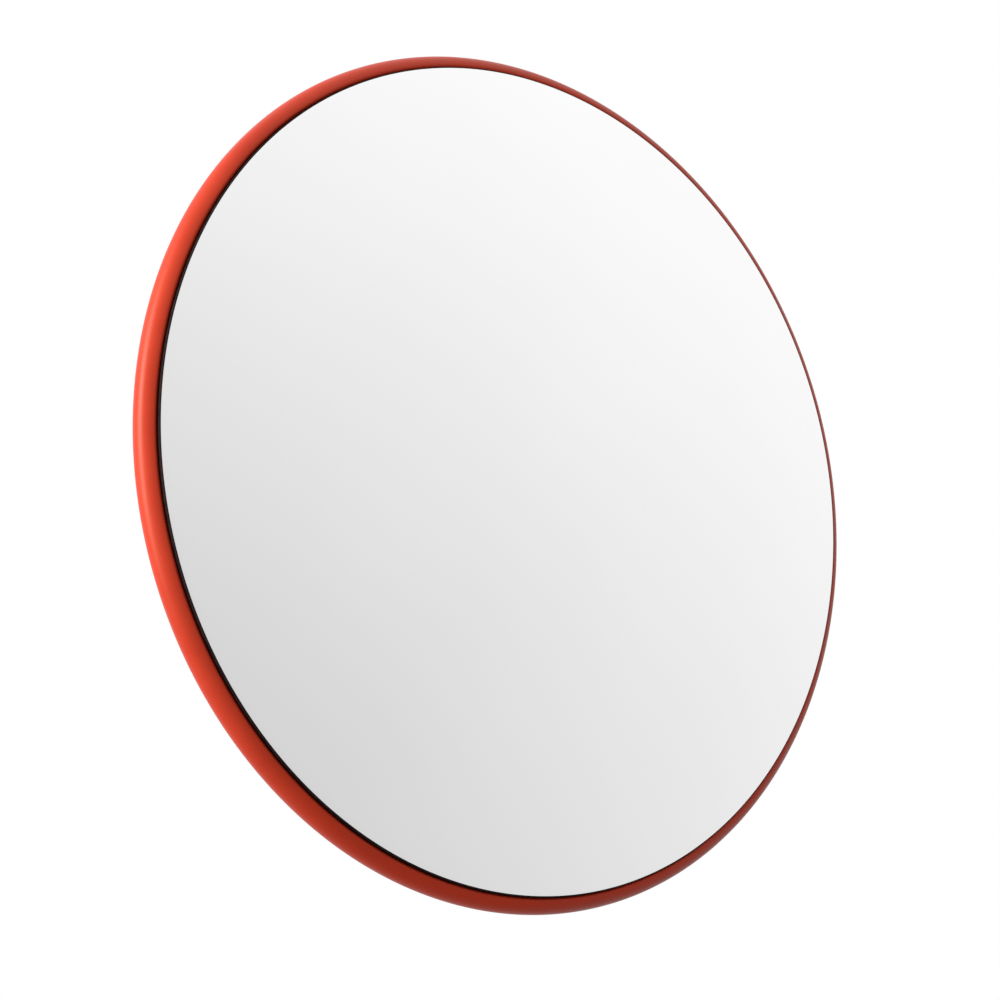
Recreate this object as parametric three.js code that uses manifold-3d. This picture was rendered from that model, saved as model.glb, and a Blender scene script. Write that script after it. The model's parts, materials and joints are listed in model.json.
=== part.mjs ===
// Traffic convex mirror, 450 mm across, on a wall bracket that pans and tilts.
// Millimetres. X right, Z up, +Y towards the wall. The wall is the plane y = 0 and the mirror faces -Y.
// The origin is the centre of the wall plate's back face.
import * as THREE from 'three';
import { mergeVertices } from 'three/addons/utils/BufferGeometryUtils.js';
import Module from 'manifold-3d';

const wasm = await Module();
wasm.setup();

// ---- Driving dimensions ----
const OUTER_RADIUS = 225;          // outside of the rim trim
const EDGE_Y = -190;               // plane of the dome's front edge
const DOME_RISE = 45;              // height of the dome above its edge plane
const DOME_THICKNESS = 2.5;
const DOME_RADIUS = 216.6;         // outside of the dome's edge wall
const EDGE_WALL = 5;               // depth of that wall, down to the flange
const SEAL_THICKNESS = 0.4;         // black strip between the edge wall and the trim
const FLANGE_RADIUS = 221;         // dome, gasket and shell flanges end here, inside the trim
const GASKET_THICKNESS = 2;
const GASKET_INNER_RADIUS = 212;
const SHELL_THICKNESS = 2.5;
const BOSS_RADIUS = 63.5;          // flat boss in the middle of the shell's back
const BOSS_DEPTH = 45;             // boss face behind the dome's edge plane
const DISH_SPHERE = 980;           // radius of the shell's shallow dish
const DISH_APEX = 42.3;            // where that sphere crosses the axis, behind the edge plane
const TRIM_RADIUS = 8.5;           // half-round trim section
const TRIM_WALL = 1.6;
const SHEET = 3;                   // steel sheet of every bracket piece
const BEND_RADIUS = 3;             // inside radius of its bends
const EAR_END_RADIUS = 13;         // rounded ends of ears and tabs
const PAN_Y = -80;                 // vertical pan pivot
const TILT_Y = -115;               // horizontal tilt pivot, at z = 0
const PLATE = { width: 76, height: 120, corner: 8 };
const SLOT = { width: 7, length: 14, x: 24, z: 44 };
const ARM_HALF_WIDTH = 22;
const TAB_OUTER = 22.5;            // outside faces of the yoke's top and bottom tabs
const SIDE_EAR_OUTER = 20;         // outside faces of the yoke's side ears
const YOKE_WEB_Y = -96;            // wall-side face of the yoke's web
const YOKE_ARM_HALF_WIDTH = 15;    // its tabs and ears, where they leave the web
const FRICTION_WASHER = { radius: 11, thickness: 1.5 };
const SPACER_RADIUS = 7;
const HEAD_PLATE = { side: 90, corner: 10 };
const BOLT_SPREAD = 32;            // bracket bolts at (+-32, +-32)
const CLEVIS_HALF_HEIGHT = 25;
const BACKING_PLATE = { radius: 58, thickness: 2 };
const M8 = {
  shank: 4, hole: 4.25, across: 13, head: 5.5, nut: 6.5, collar: 1.5, collarRadius: 5.7,
  washer: 8, washerThickness: 1.5,
};
const M6 = {
  shank: 3, hole: 3.3, across: 10, head: 4, nut: 5, washer: 6.25, washerThickness: 1.5, length: 16.5,
};
const FLANGE_SCREW = { count: 8, circle: 218.4, shank: 1.5, hole: 1.7, head: 2.75, headHeight: 1.8, length: 7 };
const DRAIN = { radius: 3, z: -190 };
const THREAD_END = 3.5;            // bolt standing out of its lock nut
const NUT_GAP = 0.05;              // between a nut's bore and its bolt

const RING_STEPS = 48;             // facets round the mirror
const SMALL_STEPS = 16;            // facets round a bolt or hole
const BEND_STEPS = 5;              // facets in a bend or a rounded corner
const DOME_STEPS = 6;              // facets from the dome's apex to its edge
const DISH_STEPS = 5;              // facets across the shell's dish

// ---- Solids ----
function solid(geometry) {
  const bare = geometry.clone();
  bare.deleteAttribute('normal');
  bare.deleteAttribute('uv');
  const merged = mergeVertices(bare, 1e-3);
  return new wasm.Manifold(new wasm.Mesh({
    numProp: 3,
    vertProperties: merged.attributes.position.array,
    triVerts: new Uint32Array(merged.index.array),
  }));
}

function geometryOf(manifold) {
  const made = manifold.getMesh();
  const geometry = new THREE.BufferGeometry();
  geometry.setAttribute('position', new THREE.BufferAttribute(made.vertProperties, 3));
  geometry.setIndex(new THREE.BufferAttribute(made.triVerts, 1));
  geometry.computeVertexNormals();
  return geometry;
}

const AXIS = {
  x: new THREE.Vector3(1, 0, 0),
  y: new THREE.Vector3(0, 1, 0),
  z: new THREE.Vector3(0, 0, 1),
};

// A shape drawn in (x, z) and extruded from yBack towards the mirror.
function extrudeAlongY(shape, yBack, thickness) {
  const turned = new THREE.Matrix4().makeBasis(AXIS.x, AXIS.z, AXIS.y.clone().negate());
  const geometry = new THREE.ExtrudeGeometry(shape, { depth: thickness, bevelEnabled: false });
  return solid(geometry.applyMatrix4(turned).translate(0, yBack, 0));
}

// A shape drawn in (x, y) and extruded upwards between two heights.
function extrudeAlongZ(shape, zLow, zHigh) {
  const geometry = new THREE.ExtrudeGeometry(shape, { depth: zHigh - zLow, bevelEnabled: false });
  return solid(geometry.translate(0, 0, zLow));
}

// A shape drawn in (y, z) and extruded to the right between two x.
function extrudeAlongX(shape, xLow, xHigh) {
  const turned = new THREE.Matrix4().makeBasis(AXIS.y, AXIS.z, AXIS.x);
  const geometry = new THREE.ExtrudeGeometry(shape, { depth: xHigh - xLow, bevelEnabled: false });
  return solid(geometry.applyMatrix4(turned).translate(xLow, 0, 0));
}

// A round rod along x, y or z, centred at the given point.
function rod(axis, radius, length, centre, steps = SMALL_STEPS) {
  const geometry = new THREE.CylinderGeometry(radius, radius, length, steps);
  if (axis === 'x') geometry.rotateZ(Math.PI / 2);
  if (axis === 'z') geometry.rotateX(Math.PI / 2);
  return solid(geometry.translate(...centre));
}

// A ring-shaped solid round the mirror's axis from its closed section of [radius, depth behind the edge plane].
function turned(section) {
  const points = section.map(([radius, depth]) => new THREE.Vector2(radius, EDGE_Y + depth));
  if (section[0][0] > 0) points.push(points[0].clone());
  return solid(new THREE.LatheGeometry(points, RING_STEPS));
}

function arc(centre, radius, fromDegrees, toDegrees, steps) {
  return Array.from({ length: steps + 1 }, (_, i) => {
    const angle = THREE.MathUtils.degToRad(fromDegrees + (toDegrees - fromDegrees) * i / steps);
    return [centre[0] + radius * Math.cos(angle), centre[1] + radius * Math.sin(angle)];
  });
}

function shapeOf(points) {
  return new THREE.Shape(points.map(([a, b]) => new THREE.Vector2(a, b)));
}

function roundedRectangle(width, height, corner) {
  const [x, y] = [width / 2 - corner, height / 2 - corner];
  return shapeOf([
    ...arc([x, y], corner, 0, 90, BEND_STEPS),
    ...arc([-x, y], corner, 90, 180, BEND_STEPS),
    ...arc([-x, -y], corner, 180, 270, BEND_STEPS),
    ...arc([x, -y], corner, 270, 360, BEND_STEPS),
  ]);
}

// ---- Materials ----
const galvanised = () => new THREE.MeshStandardMaterial({ color: 0xa9adb0, roughness: 0.45, metalness: 0.9 });
const zincHardware = () => new THREE.MeshStandardMaterial({ color: 0xc4c6c8, roughness: 0.3, metalness: 1 });
const nylon = () => new THREE.MeshStandardMaterial({ color: 0xe8e6df, roughness: 0.6, metalness: 0 });
const orangeTrim = () => new THREE.MeshStandardMaterial({ color: 0xe4482f, roughness: 0.4, metalness: 0 });
const orangeShell = () => new THREE.MeshStandardMaterial({ color: 0xdd4a26, roughness: 0.55, metalness: 0 });
const silvered = () => new THREE.MeshStandardMaterial({ color: 0xe6e8ea, roughness: 0.04, metalness: 1 });
const blackRubber = () => new THREE.MeshStandardMaterial({ color: 0x111112, roughness: 0.6, metalness: 0 });
const blackFoam = () => new THREE.MeshStandardMaterial({ color: 0x1c1c1d, roughness: 0.9, metalness: 0 });

function part(name, manifold, material) {
  const mesh = new THREE.Mesh(geometryOf(manifold), material);
  mesh.name = name;
  return mesh;
}

// ---- Fasteners, made standing on z = 0 with their axis along z ----
const hexRadius = (across) => across / Math.sqrt(3);

// Head from z = 0 up, shank from z = 0 down.
function boltSolid(size, length) {
  const head = rod('z', hexRadius(size.across), size.head, [0, 0, size.head / 2], 6);
  const shankLength = length + size.head / 2;
  return head.add(rod('z', size.shank, shankLength, [0, 0, size.head / 2 - shankLength / 2]));
}

function washerSolid(radius, hole, thickness) {
  const disc = rod('z', radius, thickness, [0, 0, thickness / 2]);
  return disc.subtract(rod('z', hole, thickness * 3, [0, 0, thickness / 2]));
}

// A hexagon with a round collar on top when it is a lock nut.
function nutSolid(size) {
  const bore = size.shank + NUT_GAP;
  let nut = rod('z', hexRadius(size.across), size.nut, [0, 0, size.nut / 2], 6);
  if (size.collar) {
    const height = size.nut + size.collar;
    nut = nut.add(rod('z', size.collarRadius, height, [0, 0, height / 2]));
  }
  return nut.subtract(rod('z', bore, size.nut * 4, [0, 0, 0]));
}

// Turns a piece made along +z so that it points along the named axis, and moves it to its place.
function placed(mesh, direction, x, y, z) {
  const turn = {
    '+z': [0, 0, 0],
    '-z': [Math.PI, 0, 0],
    '+y': [-Math.PI / 2, 0, 0],
    '-y': [Math.PI / 2, 0, 0],
    '+x': [0, Math.PI / 2, 0],
    '-x': [0, -Math.PI / 2, 0],
  }[direction];
  mesh.rotation.set(...turn);
  mesh.position.set(x, y, z);
  return mesh;
}

// ---- Bracket pieces ----
function wallPlate() {
  let plate = extrudeAlongY(roundedRectangle(PLATE.width, PLATE.height, PLATE.corner), 0, SHEET);
  const reach = (SLOT.length - SLOT.width) / 2;
  const slot = shapeOf([
    ...arc([0, reach], SLOT.width / 2, 0, 180, BEND_STEPS * 2),
    ...arc([0, -reach], SLOT.width / 2, 180, 360, BEND_STEPS * 2),
  ]);
  for (const x of [-SLOT.x, SLOT.x]) {
    for (const z of [-SLOT.z, SLOT.z]) {
      plate = plate.subtract(extrudeAlongY(slot, SHEET, SHEET * 3).translate([x, 0, z]));
    }
  }
  return plate;
}

// A bent channel's section: a web at webNear, and two walls with outside faces at +-half that reach to far.
// The first coordinate runs away from the web and the second across it.
function channelSection(webNear, far, half) {
  const side = Math.sign(far - webNear);
  const inner = BEND_RADIUS;
  const outer = BEND_RADIUS + SHEET;
  const bendAt = webNear + side * outer;
  const mirrorAngle = (degrees) => (side > 0 ? degrees : 180 - degrees);
  const bend = (centreAcross, radius, from, to) =>
    arc([bendAt, centreAcross], radius, mirrorAngle(from), mirrorAngle(to), BEND_STEPS);
  return [
    [far, half],
    ...bend(half - outer, outer, 90, 180),
    ...bend(outer - half, outer, 180, 270),
    [far, -half],
    [far, SHEET - half],
    ...bend(outer - half, inner, 270, 180),
    ...bend(half - outer, inner, 180, 90),
    [far, half - SHEET],
  ];
}

// An ear seen flat on: as wide as the web at its root, narrowing to a round end about its pivot.
function earOutline(root, pivot, rootHalfWidth) {
  const side = Math.sign(pivot - root);
  const end = arc([0, 0], EAR_END_RADIUS, -90, 90, BEND_STEPS * 2);
  return [
    [root, rootHalfWidth],
    [root, -rootHalfWidth],
    ...end.map(([along, across]) => [pivot + side * along, across]),
  ];
}

const swapped = (points) => points.map(([a, b]) => [b, a]);

function wallArm() {
  const half = TAB_OUTER + FRICTION_WASHER.thickness + SHEET;
  const end = PAN_Y - EAR_END_RADIUS;
  const channel = extrudeAlongX(shapeOf(channelSection(-SHEET, end, half)), -ARM_HALF_WIDTH, ARM_HALF_WIDTH);
  const outline = extrudeAlongZ(shapeOf(swapped(earOutline(-SHEET, PAN_Y, ARM_HALF_WIDTH))), -half, half);
  const pivotHole = rod('z', M8.hole, half * 4, [0, PAN_Y, 0]);
  return channel.intersect(outline).subtract(pivotHole);
}

function swivelYoke() {
  const webFront = YOKE_WEB_Y - SHEET;
  const tabEnd = PAN_Y + EAR_END_RADIUS;
  const earEnd = TILT_Y - EAR_END_RADIUS;
  const tabHalf = YOKE_ARM_HALF_WIDTH;
  const tabs = extrudeAlongX(shapeOf(channelSection(webFront, tabEnd, TAB_OUTER)), -tabHalf, tabHalf)
    .intersect(extrudeAlongZ(shapeOf(swapped(earOutline(webFront, PAN_Y, tabHalf))), -TAB_OUTER, TAB_OUTER))
    .subtract(rod('z', M8.hole, TAB_OUTER * 4, [0, PAN_Y, 0]));
  const earSection = swapped(channelSection(YOKE_WEB_Y, earEnd, SIDE_EAR_OUTER));
  const ears = extrudeAlongZ(shapeOf(earSection), -tabHalf, tabHalf)
    .intersect(extrudeAlongX(shapeOf(earOutline(YOKE_WEB_Y, TILT_Y, tabHalf)), -SIDE_EAR_OUTER, SIDE_EAR_OUTER))
    .subtract(rod('x', M8.hole, SIDE_EAR_OUTER * 4, [0, TILT_Y, 0]));
  return tabs.add(ears);
}

const BOSS_Y = EDGE_Y + BOSS_DEPTH;
const HEAD_PLATE_BACK_Y = BOSS_Y + SHEET;
const CLEVIS_OUTER = SIDE_EAR_OUTER + FRICTION_WASHER.thickness + SHEET;

function headClevis() {
  const end = TILT_Y + EAR_END_RADIUS;
  const section = swapped(channelSection(HEAD_PLATE_BACK_Y, end, CLEVIS_OUTER));
  const outline = earOutline(HEAD_PLATE_BACK_Y, TILT_Y, CLEVIS_HALF_HEIGHT);
  return extrudeAlongZ(shapeOf(section), -CLEVIS_HALF_HEIGHT, CLEVIS_HALF_HEIGHT)
    .intersect(extrudeAlongX(shapeOf(outline), -CLEVIS_OUTER, CLEVIS_OUTER))
    .subtract(rod('x', M8.hole, CLEVIS_OUTER * 4, [0, TILT_Y, 0]));
}

const boltCorners = [[1, 1], [-1, 1], [-1, -1], [1, -1]].map(([x, z]) => [x * BOLT_SPREAD, z * BOLT_SPREAD]);

function withBoltHoles(manifold) {
  return boltCorners.reduce(
    (body, [x, z]) => body.subtract(rod('y', M6.hole, HEAD_PLATE.side, [x, BOSS_Y, z])),
    manifold,
  );
}

// ---- Mirror head ----
const screwSpots = Array.from({ length: FLANGE_SCREW.count }, (_, i) => {
  const angle = (i + 0.5) * 2 * Math.PI / FLANGE_SCREW.count;
  return [FLANGE_SCREW.circle * Math.cos(angle), FLANGE_SCREW.circle * Math.sin(angle)];
});
const DOME_FLANGE_BACK = EDGE_WALL + DOME_THICKNESS;
const SHELL_FLANGE_FRONT = DOME_FLANGE_BACK + GASKET_THICKNESS;
const SHELL_FLANGE_BACK = SHELL_FLANGE_FRONT + SHELL_THICKNESS;

function withScrewHoles(manifold) {
  const middle = EDGE_Y + SHELL_FLANGE_FRONT;
  return screwSpots.reduce(
    (body, [x, z]) => body.subtract(rod('y', FLANGE_SCREW.hole, EDGE_WALL * 3, [x, middle, z], 8)),
    manifold,
  );
}

// The sphere that rises by DOME_RISE over the dome's edge circle.
const sphereRadius = (DOME_RADIUS ** 2 + DOME_RISE ** 2) / (2 * DOME_RISE);

// Points on the dome's sphere from the axis out to a radius, or back again.
function domeArc(sphere, edgeRadius, outwards) {
  const centre = sphereRadius - DOME_RISE;
  const points = Array.from({ length: DOME_STEPS + 1 }, (_, i) => {
    const radius = edgeRadius * i / DOME_STEPS;
    return [radius, centre - Math.sqrt(sphere ** 2 - radius ** 2)];
  });
  return outwards ? points : points.reverse();
}

function mirrorDome() {
  const innerRadius = DOME_RADIUS - DOME_THICKNESS;
  return withScrewHoles(turned([
    ...domeArc(sphereRadius, DOME_RADIUS, true),
    [DOME_RADIUS, EDGE_WALL],
    [FLANGE_RADIUS, EDGE_WALL],
    [FLANGE_RADIUS, DOME_FLANGE_BACK],
    [innerRadius, DOME_FLANGE_BACK],
    ...domeArc(sphereRadius - DOME_THICKNESS, innerRadius, false),
  ]));
}

// The strip stands on the dome's flange, and its front edge shows between the dome and the trim.
function edgeSeal() {
  const outer = DOME_RADIUS + SEAL_THICKNESS;
  return turned([
    [DOME_RADIUS, 0.6],
    [outer, 0.9],
    [outer, EDGE_WALL],
    [DOME_RADIUS, EDGE_WALL],
  ]);
}

function flangeGasket() {
  return withScrewHoles(turned([
    [GASKET_INNER_RADIUS, DOME_FLANGE_BACK],
    [FLANGE_RADIUS, DOME_FLANGE_BACK],
    [FLANGE_RADIUS, SHELL_FLANGE_FRONT],
    [GASKET_INNER_RADIUS, SHELL_FLANGE_FRONT],
  ]));
}

// The shallow dish between the boss and the flange.
function dishArc(fromRadius, toRadius, offset) {
  return Array.from({ length: DISH_STEPS + 1 }, (_, i) => {
    const radius = fromRadius + (toRadius - fromRadius) * i / DISH_STEPS;
    return [radius, DISH_APEX - offset - (DISH_SPHERE - Math.sqrt(DISH_SPHERE ** 2 - radius ** 2))];
  });
}

function backShell() {
  const shell = turned([
    [0, BOSS_DEPTH - SHELL_THICKNESS],
    [BOSS_RADIUS - 1, BOSS_DEPTH - SHELL_THICKNESS],
    [BOSS_RADIUS, BOSS_DEPTH - 3],
    [BOSS_RADIUS + 2.5, BOSS_DEPTH - 6.7],
    ...dishArc(BOSS_RADIUS + 7.5, 198.2, SHELL_THICKNESS),
    [200, 17.9],
    [200.8, 14.8],
    [202.4, 11.2],
    [205.2, SHELL_FLANGE_FRONT],
    [FLANGE_RADIUS, SHELL_FLANGE_FRONT],
    [FLANGE_RADIUS, SHELL_FLANGE_BACK],
    [206.5, SHELL_FLANGE_BACK],
    [204.5, 13],
    [203.2, 15.5],
    [202.4, 19],
    ...dishArc(199.5, BOSS_RADIUS + 7, 0),
    [BOSS_RADIUS + 4, BOSS_DEPTH - 5],
    [BOSS_RADIUS + 2, BOSS_DEPTH - 1],
    [BOSS_RADIUS, BOSS_DEPTH],
    [0, BOSS_DEPTH],
  ]);
  const drain = rod('y', DRAIN.radius, BOSS_DEPTH, [0, EDGE_Y + BOSS_DEPTH / 2, DRAIN.z], 8);
  return withScrewHoles(withBoltHoles(shell)).subtract(drain);
}

// C-shaped trim: a half-round outside, a thick front lip on the dome's flange and a rear lip on the shell's.
function rimTrim() {
  const centre = [OUTER_RADIUS - TRIM_RADIUS, TRIM_RADIUS + 1];
  const back = centre[1] + TRIM_RADIUS;
  const lipInner = DOME_RADIUS + SEAL_THICKNESS;
  const lipBack = EDGE_WALL - 0.3;
  const rearLip = 207.5;
  const hollow = TRIM_RADIUS - TRIM_WALL;
  const hollowStart = THREE.MathUtils.radToDeg(Math.asin((lipBack - centre[1]) / hollow));
  return turned([
    [lipInner, lipBack],
    [lipInner, 2.6],
    [lipInner + 0.5, 1.8],
    ...arc(centre, TRIM_RADIUS, -75, 0, 3),
    ...arc(centre, TRIM_RADIUS, 30, 90, 2),
    [rearLip + 2, back],
    [rearLip, back - TRIM_WALL],
    [rearLip, SHELL_FLANGE_BACK + 0.3],
    [rearLip + TRIM_WALL, SHELL_FLANGE_BACK + 0.3],
    [rearLip + TRIM_WALL, back - TRIM_WALL],
    ...arc(centre, hollow, 90, hollowStart, 5),
  ]);
}

// ---- Assembly: one group for each body ----
const object = new THREE.Group();
const wallMount = new THREE.Group();
const swivel = new THREE.Group();
const mirrorHead = new THREE.Group();
object.add(wallMount, swivel, mirrorHead);

const armOuter = TAB_OUTER + FRICTION_WASHER.thickness + SHEET;
const panFace = armOuter + M8.washerThickness;
const panLength = 2 * panFace + M8.nut + M8.collar + THREAD_END;
const steelWasher = () => washerSolid(M8.washer, M8.hole, M8.washerThickness);
const frictionWasher = () => washerSolid(FRICTION_WASHER.radius, M8.hole, FRICTION_WASHER.thickness);
wallMount.add(
  part('wall_plate', wallPlate(), galvanised()),
  part('wall_arm', wallArm(), galvanised()),
  placed(part('pan_bolt', boltSolid(M8, panLength), zincHardware()), '+z', 0, PAN_Y, panFace),
  placed(part('pan_lock_nut', nutSolid(M8), zincHardware()), '-z', 0, PAN_Y, -panFace),
);
for (const [name, side] of [['top', 1], ['bottom', -1]]) {
  const direction = side > 0 ? '+z' : '-z';
  const washer = part(`pan_washer_${name}`, steelWasher(), zincHardware());
  wallMount.add(placed(washer, direction, 0, PAN_Y, side * armOuter));
  const friction = part(`pan_friction_washer_${name}`, frictionWasher(), nylon());
  swivel.add(placed(friction, direction, 0, PAN_Y, side * TAB_OUTER));
}

// Each spacer is a sleeve on its bolt, from one inside face of the yoke to the other.
const tabInner = TAB_OUTER - SHEET;
const sideEarInner = SIDE_EAR_OUTER - SHEET;
const spacer = (innerFace) => washerSolid(SPACER_RADIUS, M8.hole, 2 * innerFace);
swivel.add(
  part('swivel_yoke', swivelYoke(), galvanised()),
  placed(part('pan_spacer', spacer(tabInner), zincHardware()), '+z', 0, PAN_Y, -tabInner),
  placed(part('tilt_spacer', spacer(sideEarInner), zincHardware()), '+x', -sideEarInner, TILT_Y, 0),
);

const tiltFace = CLEVIS_OUTER + M8.washerThickness;
const tiltLength = 2 * tiltFace + M8.nut + M8.collar + THREAD_END;
mirrorHead.add(
  part('head_clevis', headClevis(), galvanised()),
  placed(part('tilt_bolt', boltSolid(M8, tiltLength), zincHardware()), '+x', tiltFace, TILT_Y, 0),
  placed(part('tilt_lock_nut', nutSolid(M8), zincHardware()), '-x', -tiltFace, TILT_Y, 0),
);
for (const [name, side] of [['right', 1], ['left', -1]]) {
  const direction = side > 0 ? '+x' : '-x';
  const washer = part(`tilt_washer_${name}`, steelWasher(), zincHardware());
  mirrorHead.add(placed(washer, direction, side * CLEVIS_OUTER, TILT_Y, 0));
  const friction = part(`tilt_friction_washer_${name}`, frictionWasher(), nylon());
  swivel.add(placed(friction, direction, side * SIDE_EAR_OUTER, TILT_Y, 0));
}

const headPlate = extrudeAlongY(
  roundedRectangle(HEAD_PLATE.side, HEAD_PLATE.side, HEAD_PLATE.corner), HEAD_PLATE_BACK_Y, SHEET);
const backingBackY = BOSS_Y - SHELL_THICKNESS;
const backingPlate = rod('y', BACKING_PLATE.radius, BACKING_PLATE.thickness,
  [0, backingBackY - BACKING_PLATE.thickness / 2, 0], RING_STEPS);
mirrorHead.add(
  part('head_plate', withBoltHoles(headPlate), galvanised()),
  part('back_shell', backShell(), orangeShell()),
  part('backing_plate', withBoltHoles(backingPlate), zincHardware()),
  part('mirror_dome', mirrorDome(), silvered()),
  part('edge_seal', edgeSeal(), blackRubber()),
  part('flange_gasket', flangeGasket(), blackFoam()),
  part('rim_trim', rimTrim(), orangeTrim()),
);

const boltFaceY = HEAD_PLATE_BACK_Y + M6.washerThickness;
boltCorners.forEach(([x, z], i) => {
  const bolt = part(`bracket_bolt_${i + 1}`, boltSolid(M6, M6.length), zincHardware());
  const washer = washerSolid(M6.washer, M6.hole, M6.washerThickness);
  const nut = part(`bracket_nut_${i + 1}`, nutSolid(M6), zincHardware());
  mirrorHead.add(
    placed(bolt, '+y', x, boltFaceY, z),
    placed(part(`bracket_washer_${i + 1}`, washer, zincHardware()), '+y', x, HEAD_PLATE_BACK_Y, z),
    placed(nut, '-y', x, backingBackY - BACKING_PLATE.thickness, z),
  );
});

function flangeScrew() {
  const { shank, head, headHeight, length } = FLANGE_SCREW;
  const shankLength = length + headHeight / 2;
  return rod('z', head, headHeight, [0, 0, headHeight / 2], 12)
    .add(rod('z', shank, shankLength, [0, 0, headHeight / 2 - shankLength / 2], 8));
}
screwSpots.forEach(([x, z], i) => {
  const screw = part(`flange_screw_${i + 1}`, flangeScrew(), zincHardware());
  mirrorHead.add(placed(screw, '+y', x, EDGE_Y + SHELL_FLANGE_BACK, z));
});

export default object;
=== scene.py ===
"""Looks of a 45 cm traffic convex mirror on a wall bracket that pans and tilts.

Metres. X right, Z up, +Y towards the wall. The mirror faces -Y and its axis is the Y axis.
"""
import json
import math

import bmesh
import bpy
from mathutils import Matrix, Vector


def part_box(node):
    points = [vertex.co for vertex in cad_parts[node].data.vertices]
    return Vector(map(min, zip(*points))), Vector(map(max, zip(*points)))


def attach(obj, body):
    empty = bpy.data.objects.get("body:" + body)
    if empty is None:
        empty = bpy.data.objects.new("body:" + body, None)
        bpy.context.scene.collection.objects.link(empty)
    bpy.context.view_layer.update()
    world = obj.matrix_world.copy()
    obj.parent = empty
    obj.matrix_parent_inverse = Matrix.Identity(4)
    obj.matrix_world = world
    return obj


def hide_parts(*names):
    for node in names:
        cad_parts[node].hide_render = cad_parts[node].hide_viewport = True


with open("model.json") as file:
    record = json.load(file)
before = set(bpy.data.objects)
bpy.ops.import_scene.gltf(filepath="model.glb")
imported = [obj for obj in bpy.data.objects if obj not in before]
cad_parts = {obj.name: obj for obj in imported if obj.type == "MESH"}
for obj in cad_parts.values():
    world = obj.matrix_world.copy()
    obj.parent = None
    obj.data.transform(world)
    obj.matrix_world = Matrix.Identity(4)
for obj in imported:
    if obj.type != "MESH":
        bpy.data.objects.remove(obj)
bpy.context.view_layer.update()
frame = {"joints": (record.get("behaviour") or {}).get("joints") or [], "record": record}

MM = 0.001
record = frame["record"]
BODY_OF = {node: body for body, nodes in record["behaviour"]["bodies"].items() for node in nodes}
SLOT_OF = {entry["node"]: entry["material_slot"] for entry in record["subparts"]}
PIVOT = {joint["name"]: Vector(joint["pos_m"]) for joint in frame["joints"]}

# ---- Driving sizes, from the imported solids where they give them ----
RIM_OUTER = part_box("rim_trim")[1].x
RIM_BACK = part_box("rim_trim")[1].y
TRIM_RADIUS = 8.5 * MM
TRIM_WALL = 1.6 * MM
FRONT_SET_BACK = 0.6 * MM  # how far the trim's crest lies behind a true half-round
LIP_SET_BACK = 2.3 * MM    # the trim's front lip, behind the mirror's edge
REAR_LIP_RADIUS = 207.5 * MM
DOME_THICKNESS = 2.5 * MM
DOME_RADIUS = 216.6 * MM
EDGE_WALL = 5 * MM
EDGE_ROUND = 0.12 * MM
# The black ring round the mirror's edge is painted shade for the shadow gap between the trim's lip and the
# mirror.
SHADE_RING_THICKNESS = 0.4 * MM
SHADE_RING_LAP = 0.16 * MM
FLANGE_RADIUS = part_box("mirror_dome")[1].x
DOME_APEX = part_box("mirror_dome")[0].y
EDGE_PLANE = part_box("mirror_dome")[1].y - EDGE_WALL - DOME_THICKNESS
SHELL_THICKNESS = 2.5 * MM
SHELL_FLANGE_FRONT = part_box("back_shell")[0].y
BOSS_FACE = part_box("back_shell")[1].y
BOSS_RADIUS = 63.5 * MM
DISH_SPHERE = 980 * MM
DISH_APEX = EDGE_PLANE + 42.3 * MM
DISH_INNER, DISH_OUTER = 70.5 * MM, 199.5 * MM
DISH_INSIDE_RADII = [radius * MM for radius in (72, 100, 130, 165, 198)]
RIB_COUNT = 8
RIB_HALF_WIDTH = 3.4 * MM
RIB_HEIGHT = 1.8 * MM
RING_RIB_RADIUS = 134 * MM
DRAIN_RADIUS = 3 * MM
DRAIN_Z = -190 * MM
GASKET_INNER = 212 * MM
GASKET_BULGE = 0.5 * MM
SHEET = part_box("wall_plate")[1].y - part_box("wall_plate")[0].y
SHEET_EDGE = 0.35 * MM
BEND = 3 * MM
PLATE_CORNER, HEAD_CORNER = 8 * MM, 10 * MM
SLOT_WIDTH, SLOT_LENGTH = 7 * MM, 14 * MM
SLOT_X, SLOT_Z = 24 * MM, 44 * MM
YOKE_WEB = PIVOT["pan"].y - 16 * MM
YOKE_ARM_HALF_WIDTH = 15 * MM
EAR_END = PIVOT["pan"].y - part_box("wall_arm")[0].y
M8 = {"shank": 4 * MM, "pitch": 1.25 * MM, "across": 13 * MM, "head": 5.5 * MM, "nut": 6.5 * MM,
      "collar": 1.5 * MM, "collar_radius": 5.7 * MM, "hole": 4.25 * MM, "threaded": 17 * MM}
M6 = {"shank": 3 * MM, "pitch": 1.0 * MM, "across": 10 * MM, "head": 4 * MM, "nut": 5 * MM,
      "collar": 0, "hole": 3.3 * MM, "threaded": 10 * MM}
RUNNING_GAP = 0.04 * MM  # between a friction washer and the part that turns on it

RING_STEPS = 384
HARDWARE_STEPS = 48
HOLE_STEPS = 48
BEND_STEPS = 12
SHEET_EDGE_STEPS = 3
THREAD_STEPS = 8
DISC_STEPS = 96
SCREW_STEPS = 24


# ---- Outlines ----
def arc(centre, radius, start, end, steps, flip=1):
    """Points on an arc, in degrees; flip = -1 mirrors its first coordinate."""
    angles = [math.radians(start + (end - start) * i / steps) for i in range(steps + 1)]
    return [(centre[0] + flip * radius * math.cos(a), centre[1] + radius * math.sin(a)) for a in angles]


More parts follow.
